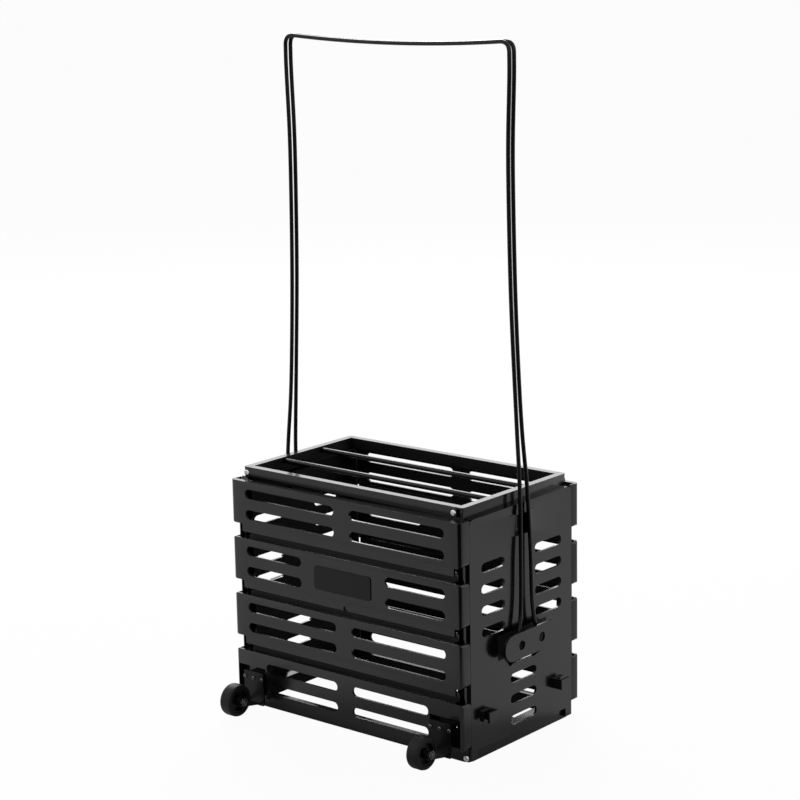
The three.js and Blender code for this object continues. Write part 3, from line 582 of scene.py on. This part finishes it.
def rounded_corners(profile, radius_mm, steps=CORNER_STEPS):
    """A profile, given by the radius and the place along the axis of each point in millimetres, with
    each inner corner replaced by a short curve."""
    points = [Vector(point) for point in profile]
    rounded = [points[0]]
    for before, corner, after in zip(points, points[1:], points[2:]):
        back = before - corner
        ahead = after - corner
        reach = min(radius_mm, back.length / 2, ahead.length / 2)
        start = corner + back.normalized() * reach
        end = corner + ahead.normalized() * reach
        rounded += bend(start, corner, end, steps)
    rounded.append(points[-1])
    return rounded


def spun(profile, sides):
    """A bmesh of the profile spun about Z. A point on the axis closes the end."""
    shape = bmesh.new()
    rings = []
    for radius, along in profile:
        if radius < ON_AXIS_MM:
            rings.append([shape.verts.new((0, 0, along * MM))])
            continue
        ring = []
        for step in range(sides):
            angle = 2 * math.pi * step / sides
            ring.append(shape.verts.new((
                radius * MM * math.cos(angle),
                radius * MM * math.sin(angle),
                along * MM,
            )))
        rings.append(ring)
    for lower, upper in zip(rings, rings[1:]):
        for step in range(sides):
            following = (step + 1) % sides
            corners = [lower[step % len(lower)], lower[following % len(lower)]]
            corners += [upper[following % len(upper)], upper[step % len(upper)]]
            unique = list(dict.fromkeys(corners))
            if len(unique) > 2:
                shape.faces.new(unique)
    bmesh.ops.remove_doubles(shape, verts=shape.verts, dist=MERGE_DISTANCE)
    bmesh.ops.recalc_face_normals(shape, faces=shape.faces)
    return shape


def turned_to(direction, place):
    """The matrix that takes a piece spun about Z to a direction and a place in metres."""
    turn = AXIS_Z.rotation_difference(direction).to_matrix().to_4x4()
    return Matrix.Translation(place) @ turn


def block(low, high):
    """A bmesh box between two corners in millimetres."""
    shape = bmesh.new()
    bmesh.ops.create_cube(shape, size=1)
    middle = (Vector(low) + Vector(high)) / 2
    size = Vector(high) - Vector(low)
    bmesh.ops.scale(shape, vec=size * MM, verts=shape.verts)
    bmesh.ops.translate(shape, vec=middle * MM, verts=shape.verts)
    return shape


def carve(piece, cutter):
    """Cuts a piece by a cutter, keeps the result as the piece's mesh and deletes the cutter."""
    modifier = piece.modifiers.new("cut", "BOOLEAN")
    modifier.operation = "DIFFERENCE"
    modifier.solver = "EXACT"
    modifier.object = cutter
    bpy.context.view_layer.update()
    graph = bpy.context.evaluated_depsgraph_get()
    mesh = bpy.data.meshes.new_from_object(piece.evaluated_get(graph))
    piece.modifiers.remove(modifier)
    piece.data = mesh
    mesh.shade_smooth()
    mesh.set_sharp_from_angle(angle=SHARP_ANGLE)
    bpy.data.objects.remove(cutter)


def pan_screw(name, sizes):
    """A pan-head screw standing along +Z with its seat at 0 and a cross recess in its crown."""
    head = sizes["head"] / 2
    shank = sizes["shank"] / 2
    height = sizes["height"]
    crown = [(head * across, height * up) for across, up in CROWN_SHARES]
    profile = [(0, -sizes["grip"]), (shank, -sizes["grip"]), (shank, 0)] + crown
    outline = rounded_corners(profile, head * CROWN_EDGE_SHARE)
    screw = new_piece(name, spun(outline, SCREW_SIDES))
    arm = head * RECESS_ARM_SHARE
    half_width = head * RECESS_HALF_WIDTH_SHARE
    bottom = height - height * RECESS_DEPTH_SHARE
    above = height + RECESS_CLEARANCE_MM
    for across, along in ((arm, half_width), (half_width, arm)):
        cutter = block((-across, -along, bottom), (across, along, above))
        carve(screw, new_piece("recess", cutter))
    return screw


def middle_of(node):
    low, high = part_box(node)
    return (low + high) / 2


def left_end_of(node):
    """The middle of the left end of a piece that lies along X, and its length in millimetres."""
    low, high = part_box(node)
    middle = middle_of(node)
    return Vector((low.x, middle.y, middle.z)), (high.x - low.x) / MM


def seat_of_screw(node, outward, head_height):
    """The middle of a screw head's underside, from the box of the solid screw, which lies along Y."""
    low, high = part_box(node)
    seat = middle_of(node)
    if outward.y > 0:
        seat.y = high.y - head_height * MM
    else:
        seat.y = low.y + head_height * MM
    return seat


def add_screw(node, pattern, outward, head_height, turn_degrees):
    """Adds a copy of a pattern screw. Its mesh is turned, not its object, so that its box stays tight."""
    screw = bpy.data.objects.new(f"{node}_plated", pattern.data.copy())
    bpy.context.scene.collection.objects.link(screw)
    screw.data.transform(Matrix.Rotation(math.radians(turn_degrees), 4, "Z"))
    screw.matrix_world = turned_to(outward, seat_of_screw(node, outward, head_height))
    dress(screw, node)


def add_screws():
    frame_pattern = pan_screw("frame_screw_pattern", FRAME_SCREW_MM)
    caster_pattern = pan_screw("caster_screw_pattern", CASTER_SCREW_MM)
    for prefix in ("top", "bottom"):
        for face, outward in (("front", -AXIS_Y), ("back", AXIS_Y)):
            for side, degrees in FRAME_SCREW_TURNS.items():
                node = f"{prefix}_screw_{face}_{side}"
                add_screw(node, frame_pattern, outward, FRAME_SCREW_MM["height"], degrees)
    for side in ("left", "right"):
        for number in (1, 2, 3):
            node = f"caster_screw_{side}_{number}"
            degrees = CASTER_SCREW_TURN * number
            add_screw(node, caster_pattern, -AXIS_Y, CASTER_SCREW_MM["height"], degrees)
    bpy.data.objects.remove(frame_pattern)
    bpy.data.objects.remove(caster_pattern)


def add_bars():
    for prefix in ("top", "bottom"):
        for side in ("front", "back"):
            node = f"{prefix}_bar_{side}"
            end, length = left_end_of(node)
            profile = [(0, 0), (BAR_RADIUS_MM, 0), (BAR_RADIUS_MM, length), (0, length)]
            outline = rounded_corners(profile, BAR_EDGE_MM)
            bar = new_piece(f"{node}_coated", spun(outline, BAR_SIDES))
            bar.matrix_world = turned_to(AXIS_X, end)
            dress(bar, node)


def catmull_rom(points, steps):
    """Points along a smooth curve through the given points, whose ends run straight on."""
    run = [2 * points[0] - points[1], *points, 2 * points[-1] - points[-2]]
    smooth = []
    for before, start, end, after in zip(run, run[1:], run[2:], run[3:]):
        first = (start - before).length ** 0.5
        second = (end - start).length ** 0.5
        third = (after - end).length ** 0.5
        leave = (start - before) / first - (end - before) / (first + second) + (end - start) / second
        arrive = (end - start) / second - (after - start) / (second + third) + (after - end) / third
        leave *= second
        arrive *= second
        for step in range(steps):
            s = step / steps
            smooth.append(
                (2 * s ** 3 - 3 * s ** 2 + 1) * start
                + (s ** 3 - 2 * s ** 2 + s) * leave
                + (3 * s ** 2 - 2 * s ** 3) * end
                + (s ** 3 - s ** 2) * arrive
            )
    smooth.append(points[-1])
    return smooth


def handle_points():
    """The front handle's centre line from pivot to pivot, in millimetres."""
    spread = (PIVOT_SPACING_MM - WIRE_TOP_SPACING_MM) / 2
    top = PIVOT_HEIGHT_MM + HANDLE_HEIGHT_MM
    side = []
    for up, inward, apart in WIRE_SIDE_SHARES:
        side.append(Vector((
            WIRE_OUTER_MM - inward * WIRE_TRAVEL_MM,
            -(WIRE_TOP_SPACING_MM / 2 + apart * spread),
            PIVOT_HEIGHT_MM + up * HANDLE_HEIGHT_MM,
        )))
    pivot = Vector((WIRE_OUTER_MM, -PIVOT_SPACING_MM / 2, PIVOT_HEIGHT_MM))
    first = pivot + (side[0] - pivot).normalized() * PIN_BEND_MM
    last = Vector((side[-1].x, side[-1].y, top - TOP_BEND_MM))
    pin_tip = Vector((PIN_TIP_MM, pivot.y, pivot.z))
    pin_start = Vector((WIRE_OUTER_MM - PIN_BEND_MM, pivot.y, pivot.z))
    bar_end = Vector((last.x - TOP_BEND_MM, last.y, top))
    corner = Vector((last.x, last.y, top))
    half = [pin_tip, *bend(pin_start, pivot, first, BEND_STEPS)]
    half += catmull_rom([first, *side, last], SIDE_STEPS)[1:-1]
    half += bend(last, corner, bar_end, BEND_STEPS)
    far_end = Vector((-bar_end.x, bar_end.y, bar_end.z))
    sag = Vector((0, bar_end.y, bar_end.z - 2 * TOP_BAR_SAG_MM))
    bar = bend(bar_end, sag, far_end, TOP_BAR_STEPS)[1:-1]
    other_half = [Vector((-point.x, point.y, point.z)) for point in reversed(half)]
    return half + bar + other_half


def add_handles():
    """Adds the front handle and the rear one, which is the same wire turned half round."""
    for node, turn in (("front_handle", 0), ("rear_handle", math.pi)):
        curve = bpy.data.curves.new(f"{node}_wire", "CURVE")
        curve.dimensions = "3D"
        curve.bevel_depth = WIRE_RADIUS_MM * MM
        curve.bevel_resolution = WIRE_ROUNDNESS
        curve.use_fill_caps = True
        spline = curve.splines.new("POLY")
        points = handle_points()
        spline.points.add(len(points) - 1)
        to_place = Matrix.Translation((0, BASKET_MIDDLE_MM, 0)) @ Matrix.Rotation(turn, 4, "Z")
        for target, point in zip(spline.points, points):
            target.co = (*(to_place @ point * MM), 1)
        wire = bpy.data.objects.new(f"{node}_wire", curve)
        bpy.context.scene.collection.objects.link(wire)
        dress(wire, node)


def add_wheels():
    """Adds the tyres, with a flat tread and rounded shoulders, and the hubs, each with a rim, a web
    and a bored boss."""
    half = WHEEL_WIDTH_MM / 2
    shoulder = WHEEL_RADIUS_MM - TYRE_CROWN_MM
    tread = half - TYRE_SHOULDER_MM
    tyre_profile = [
        (TYRE_INNER_MM, -half), (shoulder, -half), (WHEEL_RADIUS_MM, -tread),
        (WHEEL_RADIUS_MM, tread), (shoulder, half), (TYRE_INNER_MM, half),
    ]
    inner = HUB_RIM_MM["inner"]
    outer = HUB_RIM_MM["outer"]
    rim = HUB_RIM_MM["half_width"]
    half_hub = [
        (HUB_BORE_RADIUS_MM, half), (HUB_BOSS_RADIUS_MM, half), (HUB_BOSS_RADIUS_MM, HUB_WEB_HALF_MM),
        (inner, HUB_WEB_HALF_MM), (inner, rim), (outer, rim),
    ]
    hub_profile = [(radius, -along) for radius, along in half_hub] + half_hub[::-1]
    for side in ("left", "right"):
        for node, profile, edge in (
            (f"wheel_tyre_{side}", tyre_profile, TYRE_EDGE_MM),
            (f"wheel_hub_{side}", hub_profile, HUB_EDGE_MM),
        ):
            outline = rounded_corners(profile, edge, WHEEL_CORNER_STEPS)
            outline.append(outline[0])
            wheel = new_piece(f"{node}_turned", spun(outline, WHEEL_SIDES))
            wheel.matrix_world = turned_to(AXIS_X, middle_of(node))
            dress(wheel, node)


def add_axles():
    head = AXLE_BOLT_MM["head"] / 2
    shank = AXLE_BOLT_MM["shank"] / 2
    height = AXLE_BOLT_MM["height"]
    for side in ("left", "right"):
        node = f"axle_bolt_{side}"
        end, length = left_end_of(node)
        profile = [(0, 0), (head, 0), (head, height), (shank, height), (shank, length), (0, length)]
        outline = rounded_corners(profile, AXLE_BOLT_MM["edge"])
        bolt = new_piece(f"{node}_plated", spun(outline, SCREW_SIDES))
        bolt.matrix_world = turned_to(AXIS_X, end)
        dress(bolt, node)
        rounded_copy(f"axle_nut_{side}", NUT_EDGE_MM)


def add_moulded_pieces():
    for side in ("left", "right"):
        rounded_copy(f"end_panel_{side}", PANEL_EDGE_MM)
        rounded_copy(f"caster_bracket_{side}", BRACKET_EDGE_MM)
    for number in (1, 2, 3, 4):
        rounded_copy(f"front_slat_{number}", SLAT_EDGE_MM)
        rounded_copy(f"back_slat_{number}", SLAT_EDGE_MM)
    for prefix in ("top", "bottom"):
        for side in ("front", "back", "left", "right"):
            rounded_copy(f"{prefix}_rail_{side}", RAIL_EDGE_MM)
    rounded_copy("badge_plate", BADGE_EDGE_MM)


def add_camera():
    camera = bpy.data.cameras.new("photo_camera")
    camera.sensor_width = SENSOR_MM
    camera.lens = FOCAL_PIXELS * SENSOR_MM / PHOTO_PIXELS
    camera.clip_end = CAMERA_REACH
    holder = bpy.data.objects.new("photo_camera", camera)
    azimuth = math.radians(CAMERA_AZIMUTH)
    elevation = math.radians(CAMERA_ELEVATION)
    roll = math.radians(CAMERA_ROLL)
    back = Vector((
        math.sin(azimuth) * math.cos(elevation),
        -math.cos(azimuth) * math.cos(elevation),
        math.sin(elevation),
    ))
    right = Vector((math.cos(azimuth), math.sin(azimuth), 0))
    up = back.cross(right)
    rolled_right = math.cos(roll) * right + math.sin(roll) * up
    rolled_up = math.cos(roll) * up - math.sin(roll) * right
    turn = Matrix((rolled_right, rolled_up, back)).transposed().to_4x4()
    holder.matrix_world = Matrix.Translation(CAMERA_PLACE) @ turn
    bpy.context.scene.collection.objects.link(holder)
    bpy.context.scene.camera = holder


def painted_shade_share(tree, place):
    """0 on the lit floor and 1 in a wedge on the camera's side, outside the picture, whose floor colour
    is painted dark as painted shade for the unlit room. The rounded corners and the wires mirror the
    wedge, so the dark that they show is mirrored painted shade."""
    azimuth = math.radians(CAMERA_AZIMUTH)
    ahead = add_node(tree, "ShaderNodeVectorMath", {
        0: place,
        1: (math.sin(azimuth), -math.cos(azimuth), 0),
    }, operation="DOT_PRODUCT")
    across = add_node(tree, "ShaderNodeVectorMath", {
        0: place,
        1: (math.cos(azimuth), math.sin(azimuth), 0),
    }, operation="DOT_PRODUCT")
    aside = add_node(tree, "ShaderNodeMath", {0: across.outputs["Value"]}, operation="ABSOLUTE")
    edge = add_node(tree, "ShaderNodeMath", {
        0: aside.outputs["Value"],
        1: PAINTED_SHADE_WEDGE_SLOPE,
        2: PAINTED_SHADE_WEDGE_START_MM * MM,
    }, operation="MULTIPLY_ADD")
    depth = add_node(tree, "ShaderNodeMath", {
        0: ahead.outputs["Value"],
        1: edge.outputs["Value"],
    }, operation="SUBTRACT")
    share = add_node(tree, "ShaderNodeMapRange", {
        "Value": depth.outputs["Value"],
        "From Max": PAINTED_SHADE_WEDGE_FADE_MM * MM,
    })
    return share.outputs["Result"]


def add_floor():
    """A white studio floor: the camera sees it nearly white, with the cart's faint shadow. The cart
    mirrors it as it is lit, with a little white added outside the wedge that is painted dark as painted
    shade for the unlit room."""
    shape = bmesh.new()
    bmesh.ops.create_circle(shape, cap_ends=True, radius=FLOOR_RADIUS, segments=FLOOR_SIDES)
    floor = new_piece("studio_floor", shape)
    material, tree, place = blank_material("white_studio_floor")
    dark = painted_shade_share(tree, place)
    # The floor's colour turns near black in the wedge: painted shade, which the cart mirrors.
    colour = add_node(tree, "ShaderNodeMix", {
        "Factor": dark,
        "A": linear("#e6e6e6"),
        "B": linear("#1c1c1d"),
    }, data_type="RGBA")
    ray = add_node(tree, "ShaderNodeLightPath")
    mirrored = add_node(tree, "ShaderNodeMath", {
        0: ray.outputs["Is Glossy Ray"],
        1: ray.outputs["Is Transmission Ray"],
    }, operation="MAXIMUM")
    mirrored_share = add_node(tree, "ShaderNodeMapRange", {
        "Value": dark,
        "To Min": MIRRORED_FLOOR_SHARE,
        "To Max": 0,
    })
    mirrored_white = add_node(tree, "ShaderNodeMath", {
        0: mirrored.outputs["Value"],
        1: mirrored_share.outputs["Result"],
    }, operation="MULTIPLY")
    share = add_node(tree, "ShaderNodeMath", {
        0: ray.outputs["Is Camera Ray"],
        1: WHITE_FLOOR_SHARE,
        2: mirrored_white.outputs["Value"],
    }, operation="MULTIPLY_ADD")
    shadowed = add_node(tree, "ShaderNodeBsdfDiffuse", {"Color": colour.outputs["Result"]})
    white = add_node(tree, "ShaderNodeEmission", {"Color": linear("#ffffff"), "Strength": 1})
    blended = add_node(tree, "ShaderNodeMixShader", {
        0: share.outputs["Value"],
        1: shadowed.outputs["BSDF"],
        2: white.outputs["Emission"],
    })
    add_node(tree, "ShaderNodeOutputMaterial", {"Surface": blended.outputs["Shader"]})
    floor.data.materials.append(material)


def add_world():
    """A white world: white as the camera and the cart's gloss see it, and a softer light on the cart."""
    world = bpy.data.worlds.new("white_studio")
    world.use_nodes = True
    tree = world.node_tree
    tree.nodes.clear()
    ray = add_node(tree, "ShaderNodeLightPath")
    seen = add_node(tree, "ShaderNodeMath", {
        0: ray.outputs["Is Camera Ray"],
        1: ray.outputs["Is Glossy Ray"],
    }, operation="MAXIMUM")
    seen_at_all = add_node(tree, "ShaderNodeMath", {
        0: seen.outputs["Value"],
        1: ray.outputs["Is Transmission Ray"],
    }, operation="MAXIMUM")
    strength = add_node(tree, "ShaderNodeMapRange", {
        "Value": seen_at_all.outputs["Value"],
        "To Min": WORLD_LIGHT_SHARE,
        "To Max": 1,
    })
    light = add_node(tree, "ShaderNodeBackground", {
        "Color": linear("#ffffff"),
        "Strength": strength.outputs["Result"],
    })
    add_node(tree, "ShaderNodeOutputWorld", {"Surface": light.outputs["Background"]})
    bpy.context.scene.world = world


def add_lamps():
    for name, place, aim, size, power in LAMPS:
        light = bpy.data.lights.new(name, "AREA")
        light.shape = "RECTANGLE"
        light.size = size[0]
        light.size_y = size[1]
        light.energy = power
        lamp = bpy.data.objects.new(name, light)
        direction = Vector(aim) - Vector(place)
        turn = direction.to_track_quat("-Z", "Y").to_matrix().to_4x4()
        lamp.matrix_world = Matrix.Translation(place) @ turn
        bpy.context.scene.collection.objects.link(lamp)


add_camera()
add_floor()
add_world()
add_lamps()
add_moulded_pieces()
add_handles()
add_bars()
add_wheels()
add_axles()
add_screws()

bpy.context.scene.view_settings.view_transform = "Standard"
bpy.context.view_layer.update()
